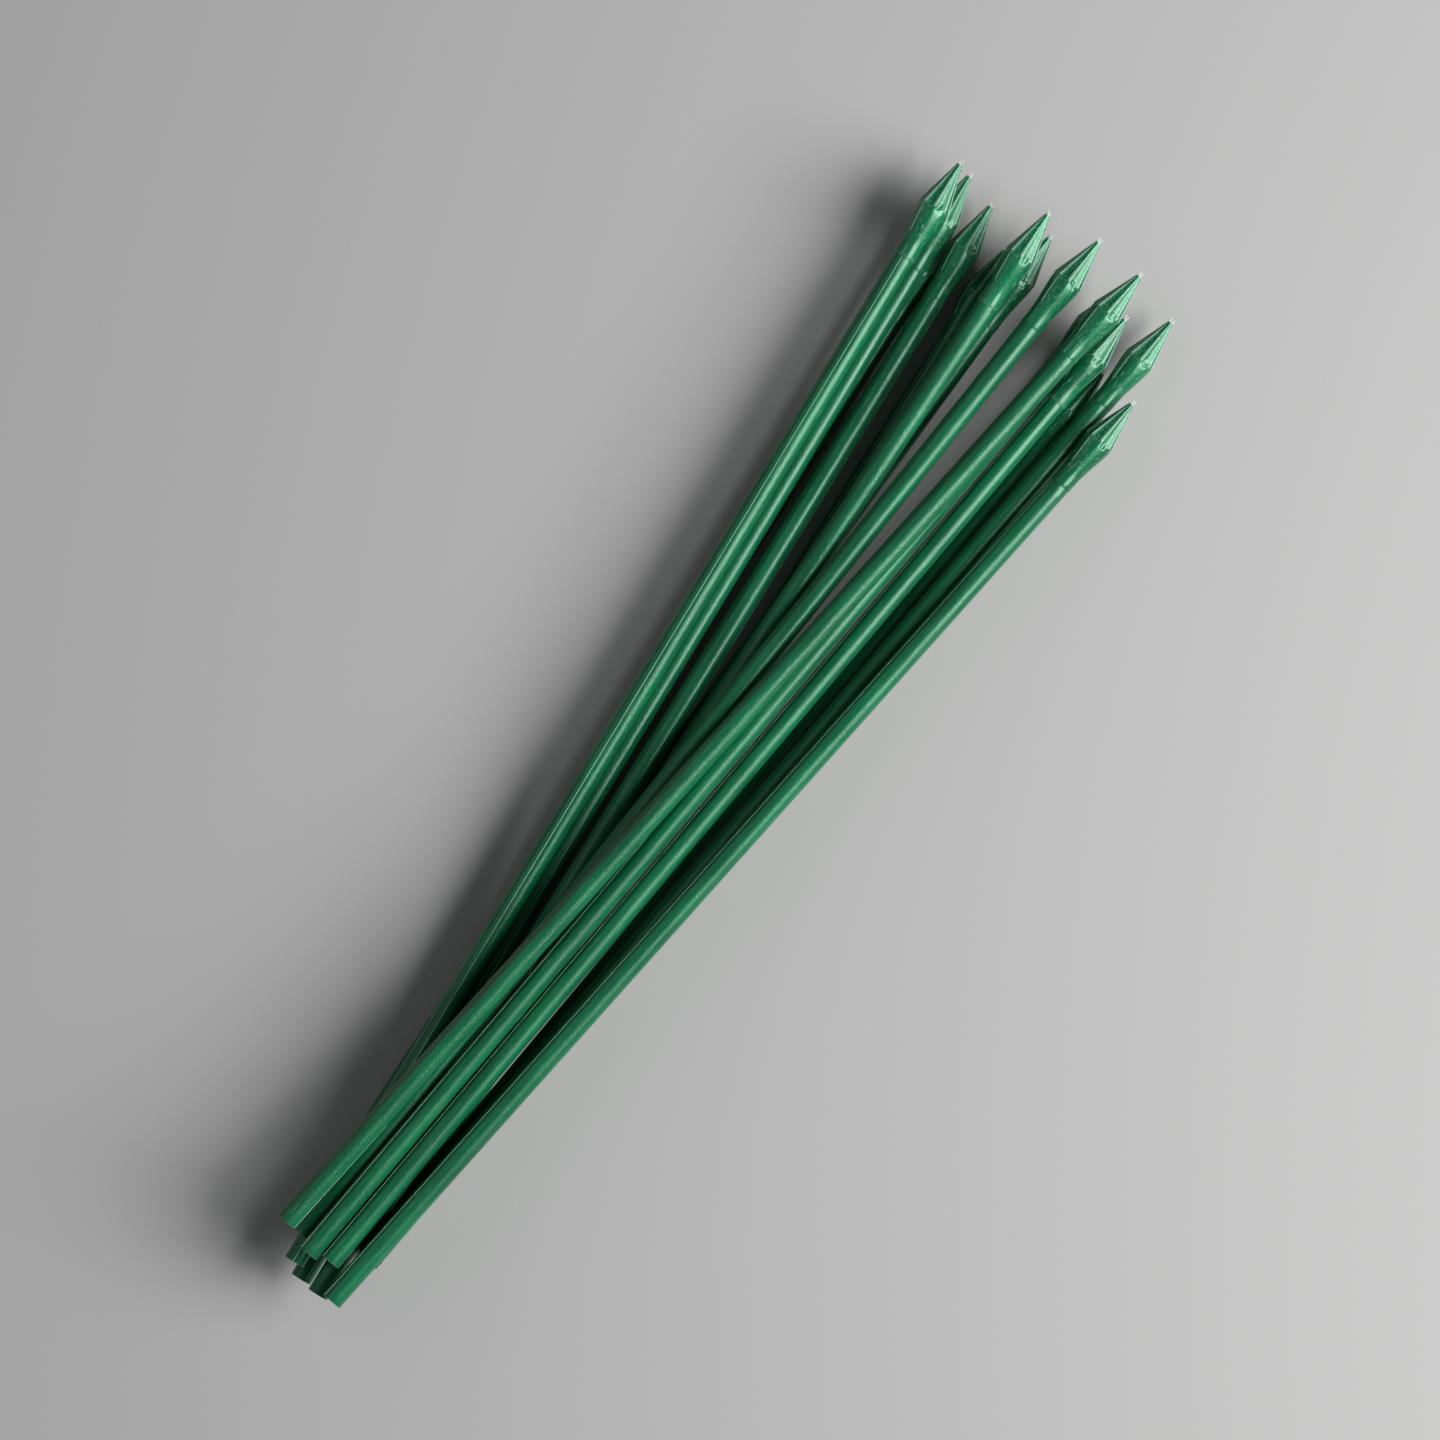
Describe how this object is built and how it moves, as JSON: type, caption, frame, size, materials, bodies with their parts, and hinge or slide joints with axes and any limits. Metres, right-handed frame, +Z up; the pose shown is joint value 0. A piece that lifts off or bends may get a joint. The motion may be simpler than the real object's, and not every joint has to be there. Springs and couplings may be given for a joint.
{
  "type": "driveway snow marker sheaf",
  "caption": "Loose sheaf of straight green driveway snow markers: jacketed glass-fibre rods with flared, faceted spear points, fanned out at the points and crossing towards the cut ends.",
  "frame": {"origin": "on the surface that the sheaf lies on, under the middle of its box", "axes": "+X along the sheaf from the cut ends towards the spear points, +Z up from the surface that it lies on"},
  "size_m": [0.6352, 0.148, 0.0581],
  "materials": {
    "green_jacket": "glossy, drawn along the rod",
    "green_point": "glossy, moulded",
    "glass_fibre": "sawn glass fibre",
    "fibre_strands": "loose glass strands"
  },
  "bodies": {
    "marker_01": {"core_01": "glass_fibre", "jacket_01": "green_jacket", "point_01": "green_point", "tuft_01": "fibre_strands"},
    "marker_02": {"core_02": "glass_fibre", "jacket_02": "green_jacket", "point_02": "green_point", "tuft_02": "fibre_strands"},
    "marker_03": {"core_03": "glass_fibre", "jacket_03": "green_jacket", "point_03": "green_point", "tuft_03": "fibre_strands"},
    "marker_04": {"core_04": "glass_fibre", "jacket_04": "green_jacket", "point_04": "green_point", "tuft_04": "fibre_strands"},
    "marker_05": {"core_05": "glass_fibre", "jacket_05": "green_jacket", "point_05": "green_point", "tuft_05": "fibre_strands"},
    "marker_06": {"core_06": "glass_fibre", "jacket_06": "green_jacket", "point_06": "green_point", "tuft_06": "fibre_strands"},
    "marker_07": {"core_07": "glass_fibre", "jacket_07": "green_jacket", "point_07": "green_point", "tuft_07": "fibre_strands"},
    "marker_08": {"core_08": "glass_fibre", "jacket_08": "green_jacket", "point_08": "green_point", "tuft_08": "fibre_strands"},
    "marker_09": {"core_09": "glass_fibre", "jacket_09": "green_jacket", "point_09": "green_point", "tuft_09": "fibre_strands"},
    "marker_10": {"core_10": "glass_fibre", "jacket_10": "green_jacket", "point_10": "green_point", "tuft_10": "fibre_strands"},
    "marker_11": {"core_11": "glass_fibre", "jacket_11": "green_jacket", "point_11": "green_point", "tuft_11": "fibre_strands"},
    "marker_12": {"core_12": "glass_fibre", "jacket_12": "green_jacket", "point_12": "green_point", "tuft_12": "fibre_strands"},
    "marker_13": {"core_13": "glass_fibre", "jacket_13": "green_jacket", "point_13": "green_point", "tuft_13": "fibre_strands"},
    "marker_14": {"core_14": "glass_fibre", "jacket_14": "green_jacket", "point_14": "green_point", "tuft_14": "fibre_strands"}
  },
  "joints": [
    {"name": "lift_02", "type": "slide", "parent": "marker_01", "child": "marker_02", "axis": [0, 0, 1], "range_m": [0, 0.07]},
    {"name": "lift_03", "type": "slide", "parent": "marker_02", "child": "marker_03", "axis": [0, 0, 1], "range_m": [0, 0.07]},
    {"name": "lift_04", "type": "slide", "parent": "marker_03", "child": "marker_04", "axis": [0, 0, 1], "range_m": [0, 0.07]},
    {"name": "lift_05", "type": "slide", "parent": "marker_04", "child": "marker_05", "axis": [0, 0, 1], "range_m": [0, 0.07]},
    {"name": "lift_06", "type": "slide", "parent": "marker_05", "child": "marker_06", "axis": [0, 0, 1], "range_m": [0, 0.07]},
    {"name": "lift_07", "type": "slide", "parent": "marker_06", "child": "marker_07", "axis": [0, 0, 1], "range_m": [0, 0.07]},
    {"name": "lift_08", "type": "slide", "parent": "marker_07", "child": "marker_08", "axis": [0, 0, 1], "range_m": [0, 0.07]},
    {"name": "lift_09", "type": "slide", "parent": "marker_08", "child": "marker_09", "axis": [0, 0, 1], "range_m": [0, 0.07]},
    {"name": "lift_10", "type": "slide", "parent": "marker_09", "child": "marker_10", "axis": [0, 0, 1], "range_m": [0, 0.07]},
    {"name": "lift_11", "type": "slide", "parent": "marker_10", "child": "marker_11", "axis": [0, 0, 1], "range_m": [0, 0.07]},
    {"name": "lift_12", "type": "slide", "parent": "marker_11", "child": "marker_12", "axis": [0, 0, 1], "range_m": [0, 0.07]},
    {"name": "lift_13", "type": "slide", "parent": "marker_12", "child": "marker_13", "axis": [0, 0, 1], "range_m": [0, 0.07]},
    {"name": "lift_14", "type": "slide", "parent": "marker_13", "child": "marker_14", "axis": [0, 0, 1], "range_m": [0, 0.07]}
  ]
}
